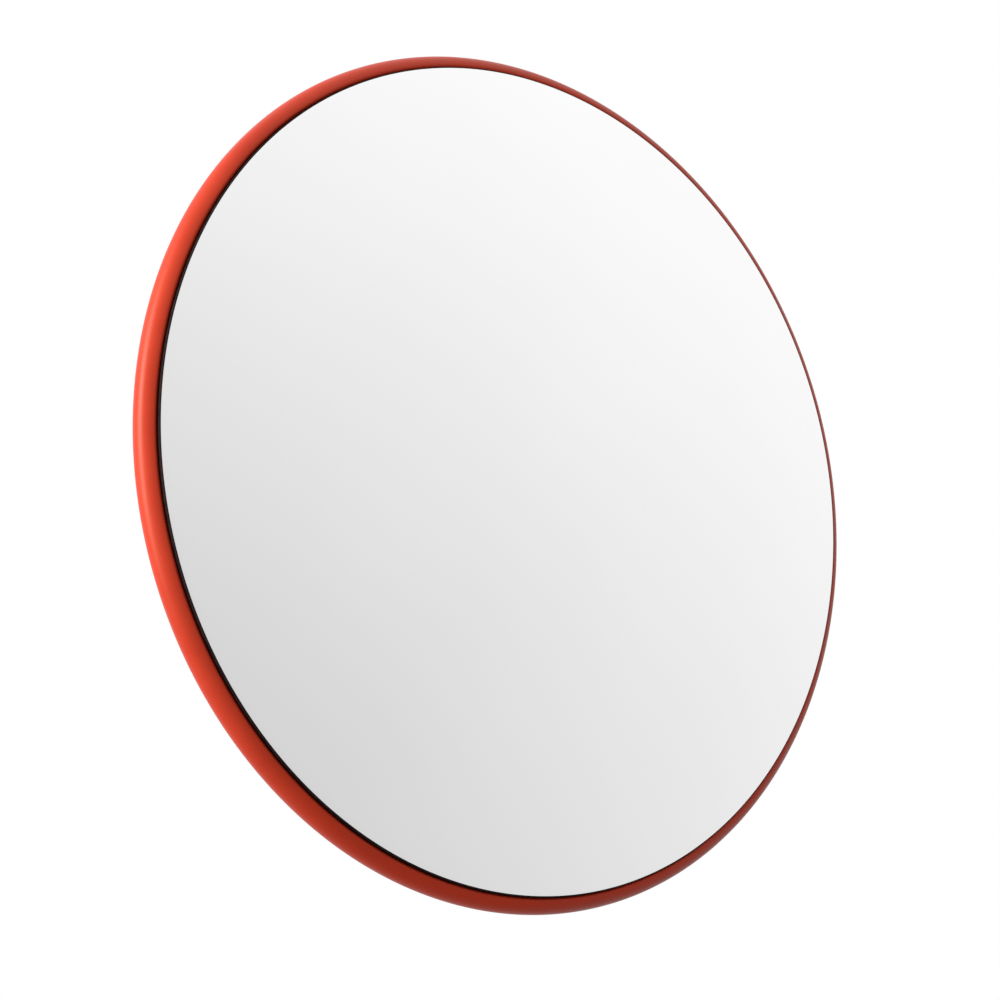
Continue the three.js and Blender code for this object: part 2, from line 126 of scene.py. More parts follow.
def filleted(corners, steps=6):
    """A closed outline from (a, b, radius) corners, each rounded to its radius."""
    points = []
    for i, (a, b, radius) in enumerate(corners):
        here = Vector((a, b))
        back = Vector(corners[i - 1][:2]) - here
        ahead = Vector(corners[(i + 1) % len(corners)][:2]) - here
        if radius == 0:
            points.append((a, b))
            continue
        back.normalize()
        ahead.normalize()
        half = back.angle(ahead) / 2
        centre = here + (back + ahead).normalized() * radius / math.sin(half)
        first = here + back * radius / math.tan(half) - centre
        last = here + ahead * radius / math.tan(half) - centre
        for k in range(steps + 1):
            points.append(tuple(centre + first.slerp(last, k / steps) * radius))
    return points


def rounded_rectangle(half_width, half_height, corner):
    corners = [(1, 1), (-1, 1), (-1, -1), (1, -1)]
    return filleted([(half_width * a, half_height * b, corner) for a, b in corners], BEND_STEPS)


def channel_section(web, far, half):
    """A bent channel's section, (along, across): its web at web, its walls at +-half and on to far."""
    side = 1 if far > web else -1
    inner, outer = BEND, BEND + SHEET
    centre = web + side * outer
    return [
        (far, half),
        *arc((centre, half - outer), outer, 90, 180, BEND_STEPS, side),
        *arc((centre, outer - half), outer, 180, 270, BEND_STEPS, side),
        (far, -half),
        (far, SHEET - half),
        *arc((centre, outer - half), inner, 270, 180, BEND_STEPS, side),
        *arc((centre, half - outer), inner, 180, 90, BEND_STEPS, side),
        (far, half - SHEET),
    ]


def ear_outline(root, pivot, half_width):
    """An ear seen flat on, (along, across): wide at its root, and round about its pivot."""
    side = 1 if pivot > root else -1
    round_end = arc((0, 0), EAR_END, -90, 90, 2 * BEND_STEPS)
    end = [(pivot + side * along, across) for along, across in round_end]
    return [(root, half_width), (root, -half_width), *end]


def swapped(points):
    return [(b, a) for a, b in points]


# ---- Meshes ----
def new_object(name, vertices, faces):
    mesh = bpy.data.meshes.new(name)
    mesh.from_pydata(vertices, [], faces)
    work = bmesh.new()
    work.from_mesh(mesh)
    bmesh.ops.recalc_face_normals(work, faces=work.faces)
    work.to_mesh(mesh)
    work.free()
    piece = bpy.data.objects.new(name, mesh)
    bpy.context.scene.collection.objects.link(piece)
    return piece


def revolved(name, rings, angles, axis):
    """A solid of rings round an axis; a ring turns an angle into (radius, place along the axis)."""
    vertices, loops = [], []
    for ring in rings:
        spots = [ring(angle) for angle in angles]
        if max(radius for radius, _ in spots) == 0:
            loops.append([len(vertices)] * len(angles))
            spots = spots[:1]
        else:
            loops.append(list(range(len(vertices), len(vertices) + len(angles))))
        for (radius, along), angle in zip(spots, angles):
            across, up = radius * math.sin(angle), radius * math.cos(angle)
            vertices.append((across, along, up) if axis == "Y" else (across, up, along))
    pairs = list(zip(loops, loops[1:]))
    if loops[0][0] != loops[0][-1]:
        pairs.append((loops[-1], loops[0]))
    faces = []
    for near, far in pairs:
        for i in range(len(angles)):
            j = (i + 1) % len(angles)
            corners = list(dict.fromkeys([near[i], near[j], far[j], far[i]]))
            if len(corners) > 2:
                faces.append(corners)
    return new_object(name, vertices, faces)


def even_angles(steps):
    return [2 * math.pi * i / steps for i in range(steps)]


def circle(radius, along):
    return lambda angle: (radius, along)


def turned(name, section, angles=None):
    """A solid round the mirror's axis from its section of (radius, y)."""
    rings = [circle(radius, y) for radius, y in section]
    return revolved(name, rings, angles or even_angles(RING_STEPS), "Y")


def prism(name, outline, axis, low, high):
    """The outline's two coordinates run along the other two axes, in the order X, Y, Z."""
    index = "XYZ".index(axis)

    def corner(point, along):
        spot = list(point)
        spot.insert(index, along)
        return tuple(spot)

    count = len(outline)
    vertices = [corner(p, low) for p in outline] + [corner(p, high) for p in outline]
    sides = [(i, (i + 1) % count, count + (i + 1) % count, count + i) for i in range(count)]
    caps = [tuple(range(count)), tuple(range(count, 2 * count))]
    return new_object(name, vertices, sides + caps)


def drill(axis, radius, centre, reach):
    """A round cutter through a point, reaching the same way both sides of it."""
    index = "XYZ".index(axis)
    flat = [c for i, c in enumerate(centre) if i != index]
    outline = arc(flat, radius, 0, 360, HOLE_STEPS)[:-1]
    return prism("drill", outline, axis, centre[index] - reach, centre[index] + reach)


def settle(piece):
    """Applies the piece's modifiers."""
    bpy.context.view_layer.update()
    graph = bpy.context.evaluated_depsgraph_get()
    mesh = bpy.data.meshes.new_from_object(piece.evaluated_get(graph))
    piece.modifiers.clear()
    piece.data = mesh
    return piece


def combined(piece, other, operation):
    modifier = piece.modifiers.new("combine", "BOOLEAN")
    modifier.operation = operation
    modifier.object = other
    modifier.solver = "EXACT"
    settle(piece)
    bpy.data.objects.remove(other)
    return piece


def smooth(piece, degrees=32):
    piece.data.shade_smooth()
    piece.data.set_sharp_from_angle(angle=math.radians(degrees))
    return piece


def edge_rounded(piece):
    """Cleans up after cuts, rounds the sharp edges and keeps the flat faces flat to the light."""
    work = bmesh.new()
    work.from_mesh(piece.data)
    bmesh.ops.remove_doubles(work, verts=work.verts, dist=0.002 * MM)
    bmesh.ops.dissolve_limit(work, angle_limit=math.radians(0.4), verts=work.verts, edges=work.edges)
    work.to_mesh(piece.data)
    work.free()
    bevel = piece.modifiers.new("round", "BEVEL")
    bevel.width = SHEET_EDGE
    bevel.segments = SHEET_EDGE_STEPS
    bevel.limit_method = "ANGLE"
    bevel.angle_limit = math.radians(40)
    settle(piece)
    smooth(piece)
    piece.modifiers.new("flat", "WEIGHTED_NORMAL").keep_sharp = True
    return settle(piece)


# ---- Materials ----
class Finish:
    """A material in the making: its Principled shader, with short ways to add nodes and join them."""

    def __init__(self, name, **values):
        self.material = bpy.data.materials.new(name)
        self.material.use_nodes = True
        self.tree = self.material.node_tree
        self.shader = self.tree.nodes["Principled BSDF"]
        self.place = self.node("ShaderNodeTexCoord").outputs["Object"]
        for key, value in values.items():
            self.shader.inputs[key.replace("_", " ")].default_value = value

    def node(self, kind, inputs=(), **settings):
        made = self.tree.nodes.new(kind)
        for key, value in settings.items():
            setattr(made, key, value)
        for key, value in dict(inputs).items():
            self.feed(made.inputs[key], value)
        return made

    def feed(self, socket, value):
        if isinstance(value, bpy.types.NodeSocket):
            self.tree.links.new(value, socket)
        else:
            socket.default_value = value

    def stretched(self, x, y, z):
        """The piece's own coordinates, scaled along each axis."""
        inputs = {"Vector": self.place, "Scale": (x, y, z)}
        return self.node("ShaderNodeMapping", inputs).outputs["Vector"]

    def noise(self, scale, detail=3.0, roughness=0.5, place=None):
        inputs = {"Vector": place or self.place, "Scale": scale, "Detail": detail, "Roughness": roughness}
        return self.node("ShaderNodeTexNoise", inputs).outputs["Fac"]

    def cells(self, scale, place=None, output="Distance"):
        inputs = {"Vector": place or self.place, "Scale": scale}
        return self.node("ShaderNodeTexVoronoi", inputs).outputs[output]

    def math(self, operation, first, second=0.0):
        return self.node("ShaderNodeMath", {0: first, 1: second}, operation=operation).outputs[0]

    def between(self, value, low, high, start=0.0, end=1.0):
        """Maps start..end to low..high."""
        inputs = {"Value": value, "From Min": start, "From Max": end, "To Min": low, "To Max": high}
        return self.node("ShaderNodeMapRange", inputs).outputs["Result"]

    def ramp(self, value, stops):
        made = self.node("ShaderNodeValToRGB", {"Fac": value})
        elements = made.color_ramp.elements
        while len(elements) < len(stops):
            elements.new(0.5)
        for element, (place, colour) in zip(elements, stops):
            element.position = place
            element.color = (*colour, 1)
        return made.outputs["Color"]

    def bump(self, height, strength, distance, under=None):
        inputs = {"Height": height, "Strength": strength, "Distance": distance}
        if under:
            inputs["Normal"] = under
        return self.node("ShaderNodeBump", inputs).outputs["Normal"]

    def use(self, **links):
        for key, value in links.items():
            self.feed(self.shader.inputs[key.replace("_", " ")], value)
        return self.material


def mirror_silver():
    """Silvered acrylic: a bright film with the faintest ripple from forming and a trace of dust."""
    finish = Finish("mirror_silver", Metallic=1.0)
    dust = finish.noise(420, 6, 0.65)
    cloud = finish.noise(7, 2)
    colour = finish.ramp(cloud, [(0.3, (0.935, 0.935, 0.935)), (0.7, (0.952, 0.951, 0.950))])
    haze = finish.between(dust, 0.025, 0.075, 0.45, 0.8)
    ripple = finish.noise(9, 1)
    return finish.use(Base_Color=colour, Roughness=haze, Normal=finish.bump(ripple, 0.04, 1 * MM))


def orange_trim():
    """Extruded PVC: satin, with drawn lines that run round the rim and soft patches of wear."""
    finish = Finish("orange_trim", Specular_IOR_Level=0.42, Specular_Tint=(1.0, 0.86, 0.66, 1.0))
    patches = finish.noise(22, 4, 0.6)
    colour = finish.ramp(patches, [(0.3, (0.49, 0.024, 0.004)), (0.55, (0.54, 0.029, 0.006)),
                                   (0.8, (0.58, 0.035, 0.008))])
    split = finish.node("ShaderNodeSeparateXYZ", {"Vector": finish.place}).outputs
    radius = finish.math("SQRT", finish.math("ADD", finish.math("MULTIPLY", split["X"], split["X"]),
                                             finish.math("MULTIPLY", split["Z"], split["Z"])))
    across = finish.node("ShaderNodeCombineXYZ", {"X": radius, "Y": split["Y"]}).outputs["Vector"]
    drawn = finish.noise(1500, 2, 0.6, across)
    grain = finish.noise(900, 3, 0.6)
    normal = finish.bump(grain, 0.12, 0.06 * MM, finish.bump(drawn, 0.18, 0.08 * MM))
    rough = finish.between(patches, 0.34, 0.46, 0.3, 0.7)
    return finish.use(Base_Color=colour, Roughness=rough, Normal=normal)


def orange_shell():
    """Moulded polypropylene with a fine spark texture, a little paler where the mould filled last."""
    finish = Finish("orange_shell", Specular_IOR_Level=0.3, Specular_Tint=(1.0, 0.88, 0.72, 1.0))
    flow = finish.noise(9, 3, 0.55)
    colour = finish.ramp(flow, [(0.3, (0.53, 0.040, 0.012)), (0.7, (0.60, 0.052, 0.017))])
    grain = finish.noise(1300, 4, 0.7)
    pits = finish.cells(900.0)
    normal = finish.bump(grain, 0.35, 0.10 * MM, finish.bump(pits, 0.15, 0.08 * MM))
    rough = finish.between(flow, 0.46, 0.60, 0.3, 0.7)
    return finish.use(Base_Color=colour, Roughness=rough, Normal=normal)


def galvanised_steel():
    """Hot-dip galvanised sheet: spangles of different greys under a dull bloom."""
    finish = Finish("galvanised_steel", Metallic=0.92)
    warp = finish.node("ShaderNodeTexNoise", {"Vector": finish.place, "Scale": 60.0}).outputs["Color"]
    bent = finish.node("ShaderNodeMix", {"Factor": 0.012}, data_type="VECTOR")
    finish.feed(bent.inputs[4], finish.place)
    finish.feed(bent.inputs[5], warp)
    cells = finish.cells(170.0, bent.outputs[1], "Color")
    spangle = finish.node("ShaderNodeSeparateColor", {"Color": cells}).outputs["Red"]
    bloom = finish.noise(45, 5, 0.65)
    mixed = finish.math("ADD", finish.math("MULTIPLY", spangle, 0.55), finish.math("MULTIPLY", bloom, 0.45))
    colour = finish.ramp(mixed, [(0.2, (0.45, 0.467, 0.48)), (0.5, (0.52, 0.537, 0.547)),
                                 (0.8, (0.59, 0.605, 0.61))])
    rough = finish.between(mixed, 0.54, 0.40, 0.2, 0.8)
    grain = finish.noise(700, 4, 0.6)
    return finish.use(Base_Color=colour, Roughness=rough, Normal=finish.bump(grain, 0.12, 0.05 * MM))


def zinc_hardware():
    """Bright zinc plate with a cool tint that drifts, and fine handling scratches."""
    finish = Finish("zinc_hardware", Metallic=1.0)
    tint = finish.noise(160, 3)
    colour = finish.ramp(tint, [(0.3, (0.60, 0.63, 0.66)), (0.55, (0.70, 0.71, 0.71)),
                                (0.8, (0.74, 0.73, 0.69))])
    scratches = finish.noise(900, 6, 0.75, finish.stretched(1, 1, 0.08))
    rough = finish.between(scratches, 0.20, 0.42, 0.35, 0.7)
    return finish.use(Base_Color=colour, Roughness=rough, Normal=finish.bump(scratches, 0.10, 0.03 * MM))


def white_nylon():
    finish = Finish("white_nylon", Specular_IOR_Level=0.5, Subsurface_Weight=0.15)
    finish.shader.inputs["Subsurface Radius"].default_value = (1.0 * MM, 0.9 * MM, 0.7 * MM)
    cloud = finish.noise(300, 4)
    colour = finish.ramp(cloud, [(0.3, (0.74, 0.72, 0.66)), (0.7, (0.82, 0.80, 0.75))])
    return finish.use(Base_Color=colour, Roughness=finish.between(cloud, 0.4, 0.55),
                      Normal=finish.bump(finish.noise(1500, 2), 0.15, 0.03 * MM))


def black_foam():
    finish = Finish("black_foam", Specular_IOR_Level=0.3)
    cells = finish.cells(1400.0)
    colour = finish.ramp(cells, [(0.1, (0.010, 0.010, 0.011)), (0.6, (0.030, 0.030, 0.032))])
    return finish.use(Base_Color=colour, Roughness=finish.between(cells, 0.95, 0.8),
                      Normal=finish.bump(cells, 0.5, 0.3 * MM))


def black_rubber():
    finish = Finish("black_rubber", Specular_IOR_Level=0.12)
    cloud = finish.noise(250, 4)
    colour = finish.ramp(cloud, [(0.3, (0.010, 0.004, 0.004)), (0.7, (0.022, 0.009, 0.008))])
    return finish.use(Base_Color=colour, Roughness=finish.between(cloud, 0.5, 0.7),
                      Normal=finish.bump(finish.noise(1800, 3), 0.2, 0.03 * MM))


MATERIALS = {make.__name__: make() for make in (
    mirror_silver, orange_trim, orange_shell, galvanised_steel, zinc_hardware, white_nylon,
    black_foam, black_rubber)}


def dress(piece, node, body=None, slot=None):
    """Gives a piece its material and body, from the CAD node it stands for or as they are named."""
    slot = slot or SLOT_OF[node]
    piece.data.materials.clear()
    piece.data.materials.append(MATERIALS[slot])
    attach(piece, body or BODY_OF[node])
    if node:
        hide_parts(node)
    return piece


# ---- Mirror head ----
DOME_SPHERE = (DOME_RADIUS ** 2 + (EDGE_PLANE - DOME_APEX) ** 2) / (2 * (EDGE_PLANE - DOME_APEX))


def sphere_cap(sphere, centre_y, start, end, steps):
    """(radius, y) points on the front of a sphere centred on the axis."""
    radii = [start + (end - start) * i / steps for i in range(steps + 1)]
    return [(radius, centre_y - math.sqrt(sphere ** 2 - radius ** 2)) for radius in radii]


def mirror_dome():
    centre_y = DOME_APEX + DOME_SPHERE
    round_radius = DOME_RADIUS - EDGE_ROUND
    round_y = centre_y - math.sqrt((DOME_SPHERE - EDGE_ROUND) ** 2 - round_radius ** 2)
    lean = math.degrees(math.asin(round_radius / (DOME_SPHERE - EDGE_ROUND)))
    edge = arc((round_radius, round_y), EDGE_ROUND, lean - 90, 0, 8)
    inner_radius = DOME_RADIUS - DOME_THICKNESS
    flange_front = EDGE_PLANE + EDGE_WALL
    flange_back = flange_front + DOME_THICKNESS
    section = [
        *sphere_cap(DOME_SPHERE, centre_y, 0, edge[0][0], 64),
        *edge[1:],
        (DOME_RADIUS, flange_front),
        (FLANGE_RADIUS - 0.3 * MM, flange_front),
        (FLANGE_RADIUS, flange_front + 0.3 * MM),
        (FLANGE_RADIUS, flange_back - 0.3 * MM),
        (FLANGE_RADIUS - 0.3 * MM, flange_back),
        (inner_radius, flange_back),
        *reversed(sphere_cap(DOME_SPHERE - DOME_THICKNESS, centre_y, 0, inner_radius, 24)),
    ]
    dress(smooth(turned("mirror_dome_detail", section)), "mirror_dome")


def edge_seal():
    """A black bead round the mirror's edge, just lapping over its corner: painted shade for the dark shadow
    gap between the trim's lip and the mirror.
    """
    outer = DOME_RADIUS + SHADE_RING_THICKNESS
    back = EDGE_PLANE + EDGE_WALL
    section = filleted([
        (DOME_RADIUS - SHADE_RING_LAP, EDGE_PLANE - 0.5 * SHADE_RING_LAP, 0),
        (outer, EDGE_PLANE + SHADE_RING_LAP, 0.15 * MM),
        (outer, back, 0),
        (DOME_RADIUS, back, 0),
        (DOME_RADIUS, EDGE_PLANE + SHADE_RING_LAP, 0),
    ], 3)
    dress(smooth(turned("edge_painted_shade_ring", section)), "edge_seal")


def flange_gasket():
    low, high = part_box("flange_gasket")
    corners = [(GASKET_INNER, low.y), (high.x, low.y), (high.x, high.y), (GASKET_INNER, high.y)]
    section = filleted([(radius, y, GASKET_BULGE) for radius, y in corners], 4)
    dress(smooth(turned("flange_gasket_detail", section)), "flange_gasket")


def rim_trim():
    centre = (RIM_OUTER - TRIM_RADIUS, RIM_BACK - TRIM_RADIUS)
    hollow = TRIM_RADIUS - TRIM_WALL
    lip_inner = DOME_RADIUS + SHADE_RING_THICKNESS
    lip_back = EDGE_PLANE + EDGE_WALL - 0.3 * MM
    lip_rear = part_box("flange_gasket")[1].y + SHELL_THICKNESS + 0.3 * MM
    hollow_start = math.degrees(math.asin((lip_back - centre[1]) / hollow))
    front_arc = [(radius, y + FRONT_SET_BACK * max(0.0, (centre[1] - y) / TRIM_RADIUS))
                 for radius, y in arc(centre, TRIM_RADIUS, -75, 90, 40)]
    hollow_arc = arc(centre, hollow, 90, hollow_start, 12)
    section = filleted([
        (lip_inner, lip_back, 0.2 * MM),
        (lip_inner, EDGE_PLANE + LIP_SET_BACK, 1.5 * MM),
        *[(radius, y, 0) for radius, y in front_arc],
        (REAR_LIP_RADIUS, RIM_BACK, 1.4 * MM),
        (REAR_LIP_RADIUS, lip_rear, 0.5 * MM),
        (REAR_LIP_RADIUS + TRIM_WALL, lip_rear, 0.3 * MM),
        (REAR_LIP_RADIUS + TRIM_WALL, RIM_BACK - TRIM_WALL, 0.3 * MM),
        *[(radius, y, 0) for radius, y in hollow_arc],
    ])
    dress(smooth(turned("rim_trim_detail", section), 50), "rim_trim")


def dish_y(radius):
    return DISH_APEX - DISH_SPHERE + math.sqrt(DISH_SPHERE ** 2 - radius ** 2)


def bell(distance, half_width):
    """1 on a rib's flat top, falling smoothly to 0 at its foot."""
    share = min(1.0, max(0.0, (half_width - abs(distance)) / (0.55 * half_width)))
    return share * share * (3 - 2 * share)


def rib_height(radius, angle):
    """How far the ribs stand out of the dish; a spoke rises and falls smoothly at its ends."""
    spacing = 2 * math.pi / RIB_COUNT
    nearest = (angle + spacing / 2) % spacing - spacing / 2
    spoke = bell(nearest * radius, RIB_HALF_WIDTH)
    inner_end = min(1.0, max(0.0, (radius - DISH_INNER - 3 * MM) / (5 * MM)))
    outer_end = min(1.0, max(0.0, (DISH_OUTER - 6 * MM - radius) / (7 * MM)))
    ends = math.sin(inner_end * math.pi / 2) * math.sin(outer_end * math.pi / 2)
    ring = bell(radius - RING_RIB_RADIUS, 1.2 * RIB_HALF_WIDTH)
    return RIB_HEIGHT * max(spoke * ends, ring)


def rib_angles():
    """Angles round the shell, close together across each rib."""
    spacing = 2 * math.pi / RIB_COUNT
    fine = math.radians(3.2)
    angles = []
    for rib in range(RIB_COUNT):
        middle = rib * spacing
        angles += [middle - fine + 2 * fine * i / 32 for i in range(32)]
        gap = spacing - 2 * fine
        angles += [middle + fine + gap * i / 22 for i in range(22)]
    return angles


def dish_radii():
    """Radii across the dish, close together across the ring rib."""
    near = RING_RIB_RADIUS - 6 * MM
    far = RING_RIB_RADIUS + 6 * MM
    inner = [DISH_INNER + (near - DISH_INNER) * i / 16 for i in range(16)]
    middle = [near + (far - near) * i / 16 for i in range(16)]
    outer = [far + (DISH_OUTER - far) * i / 18 for i in range(19)]
    return inner + middle + outer


def back_shell():
    flange_back = SHELL_FLANGE_FRONT + SHELL_THICKNESS
    inner_dish = [(radius, dish_y(radius) - SHELL_THICKNESS) for radius in DISH_INSIDE_RADII]
    turn_inside, step_inside, flange_inside = 199.8 * MM, 201.4 * MM, 203.5 * MM
    turn_outside, step_outside = 202.6 * MM, 204.2 * MM
    step_foot = dish_y(DISH_INNER)
    boss_inner = BOSS_FACE - SHELL_THICKNESS
    outline = filleted([
        (0, boss_inner, 0),
        (BOSS_RADIUS - 0.5 * MM, boss_inner, 2 * MM),
        (BOSS_RADIUS + 2.5 * MM, step_foot - SHELL_THICKNESS, 2 * MM),
        *[(radius, y, 0) for radius, y in inner_dish],
        (turn_inside, EDGE_PLANE + 19.2 * MM, 1.2 * MM),
        (step_inside, SHELL_FLANGE_FRONT + 1.5 * MM, 0.8 * MM),
        (flange_inside, SHELL_FLANGE_FRONT, 1 * MM),
        (FLANGE_RADIUS, SHELL_FLANGE_FRONT, 0.3 * MM),
        (FLANGE_RADIUS, flange_back, 0.3 * MM),
        (step_outside, flange_back, 1.5 * MM),
        (turn_outside, dish_y(turn_outside), 2.2 * MM),
    ], 5)
    outline += [(radius, dish_y(radius)) for radius in reversed(dish_radii())]
    outline += filleted([
        (DISH_INNER, step_foot, 0),
        (BOSS_RADIUS + 4.5 * MM, step_foot + 0.2 * MM, 2 * MM),
        (BOSS_RADIUS + 1.5 * MM, BOSS_FACE, 1.4 * MM),
        (0, BOSS_FACE, 0),
    ], 5)[1:]
    shell = turned("back_shell_detail", outline, rib_angles())
    for vertex in shell.data.vertices:
        x, y, z = vertex.co
        radius = math.hypot(x, z)
        if DISH_INNER < radius < DISH_OUTER and abs(y - dish_y(radius)) < 0.01 * MM:
            vertex.co.y += rib_height(radius, math.atan2(x, z) % (2 * math.pi))
    drain = (0, dish_y(-DRAIN_Z), DRAIN_Z)
    combined(shell, drill("Y", DRAIN_RADIUS, drain, 6 * MM), "DIFFERENCE")
    dress(smooth(shell, 40), "back_shell")


# ---- Bracket ----
def sheet_with_holes(piece, axis, radius, centres, reach):
    for centre in centres:
        combined(piece, drill(axis, radius, centre, reach), "DIFFERENCE")
    return piece


def bracket_bolt_centres():
    boxes = [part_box(f"bracket_bolt_{i}") for i in range(1, 5)]
    return [(low + high) / 2 for low, high in boxes]


def wall_plate():
    low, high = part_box("wall_plate")
    plate = prism("wall_plate_detail", rounded_rectangle(high.x, high.z, PLATE_CORNER), "Y", low.y, high.y)
    reach = (SLOT_LENGTH - SLOT_WIDTH) / 2
    for x in (-SLOT_X, SLOT_X):
        for z in (-SLOT_Z, SLOT_Z):
            slot = [*arc((x, z + reach), SLOT_WIDTH / 2, 0, 180, 24),
                    *arc((x, z - reach), SLOT_WIDTH / 2, 180, 360, 24)]
            combined(plate, prism("slot", slot, "Y", low.y - SHEET, high.y + SHEET), "DIFFERENCE")
    dress(edge_rounded(plate), "wall_plate")


def wall_arm():
    low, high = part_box("wall_arm")
    pivot = PIVOT["pan"]
    arm = prism("wall_arm_detail", channel_section(high.y, low.y, high.z), "X", low.x, high.x)
    outline = swapped(ear_outline(high.y, pivot.y, high.x))
    combined(arm, prism("outline", outline, "Z", 2 * low.z, 2 * high.z), "INTERSECT")
    sheet_with_holes(arm, "Z", M8["hole"], [pivot], 2 * high.z)
    dress(edge_rounded(arm), "wall_arm")


def swivel_yoke():
    low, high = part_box("swivel_yoke")
    pan, tilt = PIVOT["pan"], PIVOT["tilt"]
    front = YOKE_WEB - SHEET
    half = YOKE_ARM_HALF_WIDTH
    yoke = prism("swivel_yoke_detail", channel_section(front, high.y, high.z), "X", -half, half)
    outline = swapped(ear_outline(front, pan.y, half))
    combined(yoke, prism("outline", outline, "Z", 2 * low.z, 2 * high.z), "INTERSECT")
    sheet_with_holes(yoke, "Z", M8["hole"], [pan], 2 * high.z)
    ears = prism("ears", swapped(channel_section(YOKE_WEB, low.y, high.x)), "Z", -half, half)
    outline = ear_outline(YOKE_WEB, tilt.y, half)
    combined(ears, prism("outline", outline, "X", 2 * low.x, 2 * high.x), "INTERSECT")
    sheet_with_holes(ears, "X", M8["hole"], [tilt], 2 * high.x)
    combined(yoke, ears, "UNION")
    dress(edge_rounded(yoke), "swivel_yoke")


def head_plate():
    low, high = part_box("head_plate")
    plate = prism("head_plate_detail", rounded_rectangle(high.x, high.z, HEAD_CORNER), "Y", low.y, high.y)
    sheet_with_holes(plate, "Y", M6["hole"], bracket_bolt_centres(), 3 * M6["head"] + SHEET)
    dress(edge_rounded(plate), "head_plate")


def head_clevis():
    low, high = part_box("head_clevis")
    pivot = PIVOT["tilt"]
    section = swapped(channel_section(low.y, high.y, high.x))
    clevis = prism("head_clevis_detail", section, "Z", low.z, high.z)
    outline = ear_outline(low.y, pivot.y, high.z)
    combined(clevis, prism("outline", outline, "X", 2 * low.x, 2 * high.x), "INTERSECT")
    sheet_with_holes(clevis, "X", M8["hole"], [pivot], 2 * high.x)
    dress(edge_rounded(clevis), "head_clevis")


def backing_plate():
    low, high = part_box("backing_plate")
    edge = 0.4 * MM
    section = filleted([(0, low.y, 0), (high.x, low.y, edge), (high.x, high.y, edge), (0, high.y, 0)], 3)
    plate = turned("backing_plate_detail", section, even_angles(DISC_STEPS))
    sheet_with_holes(plate, "Y", M6["hole"], bracket_bolt_centres(), 5 * M6["head"])
    dress(smooth(plate), "backing_plate")


def weld(name, start, end, out_a, out_b, body):
    """A fillet weld in the corner between two faces, with the ripples that a hand-run bead has."""
    leg, pitch = 2.6 * MM, 1.7 * MM
    start, end, out_a, out_b = (Vector(v) for v in (start, end, out_a, out_b))
    length = (end - start).length
    along = (end - start).normalized()
    steps = round(length / pitch) * 8
    arc_steps = 10
    vertices = []
    for i in range(steps + 1):
        s = length * i / steps
        end_share = min(1.0, min(s, length - s) / leg)
        size = leg * (0.30 + 0.70 * math.sqrt(end_share * (2 - end_share)))
        vertices.append(start + along * s - (out_a + out_b) * 0.3 * MM)
        for k in range(arc_steps + 1):
            turn = math.pi / 2 * k / arc_steps
            lag = 0.9 * MM * math.sin(2 * turn)
            ripple = 0.90 + 0.10 * abs(math.sin(math.pi * (s - lag) / pitch)) ** 0.7
            spoke = out_a * math.cos(turn) + out_b * math.sin(turn)
            vertices.append(start + along * s + spoke * size * ripple)
    ring = arc_steps + 2
    faces = []
    for i in range(steps):
        for k in range(ring):
            a, b = i * ring + k, i * ring + (k + 1) % ring
            faces.append((a, b, b + ring, a + ring))
    faces += [tuple(range(ring)), tuple(range(steps * ring, (steps + 1) * ring))]
    bead = new_object(name, [tuple(v) for v in vertices], faces)
    dress(smooth(bead, 50), None, body, "galvanised_steel")


def welds():
    arm_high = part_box("wall_arm")[1]
    reach = arm_high.z - SHEET - BEND - 2 * MM
    for name, side in (("left", -1), ("right", 1)):
        x = side * arm_high.x
        weld(f"arm_weld_{name}", (x, arm_high.y, -reach), (x, arm_high.y, reach),
             (side, 0, 0), (0, -1, 0), "wall_mount")
    low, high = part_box("head_clevis")
    reach = high.x - SHEET - BEND - 2 * MM
    for name, side in (("lower", -1), ("upper", 1)):
        z = side * high.z
        weld(f"clevis_weld_{name}", (-reach, low.y, z), (reach, low.y, z),
             (0, 0, side), (0, 1, 0), "mirror_head")


# ---- Hardware, made standing on z = 0 with its axis along z ----
def hexagon_radius(across, angle):
    return across / 2 / math.cos((angle + math.pi / 6) % (math.pi / 3) - math.pi / 6)


def hexagon(across, along, share=1.0):
    return lambda angle: (share * hexagon_radius(across, angle), along)


def chamfered_hexagon(across, round_radius, along, slope):
    """A hexagon's edge where a cone through round_radius at the given height cuts it."""
    return lambda angle: (hexagon_radius(across, angle),
                          along + slope * (hexagon_radius(across, angle) - round_radius))


def thread_ring(size, along):
    """One ring of a screw thread: the radius goes up and down once a pitch, turning with the angle."""
    depth = 0.58 * size["pitch"]

    def ring(angle):
        phase = (along / size["pitch"] + angle / (2 * math.pi)) % 1
        flank = min(1.0, max(0.0, (abs(2 * phase - 1) - 0.12) / 0.76))
        return size["shank"] - depth * flank, along

    return ring


CHAMFER_SLOPE = math.tan(math.radians(30))


def hexagon_head(size):
    """Rings from the top of a bolt's head down to its washer face."""
    flat = 0.48 * size["across"]
    height = size["head"]
    return [
        circle(0, height - 0.15 * MM),
        circle(0.8 * flat, height - 0.15 * MM),
        circle(0.86 * flat, height),
        circle(flat - 0.2 * MM, height),
        circle(flat, height - 0.05 * MM),
        chamfered_hexagon(size["across"], flat, height - 0.05 * MM, -CHAMFER_SLOPE),
        hexagon(size["across"], 0.45 * MM),
        hexagon(size["across"], 0.3 * MM, 0.985),
        circle(0.475 * size["across"], 0.3 * MM),
        circle(0.475 * size["across"], 0),
    ]


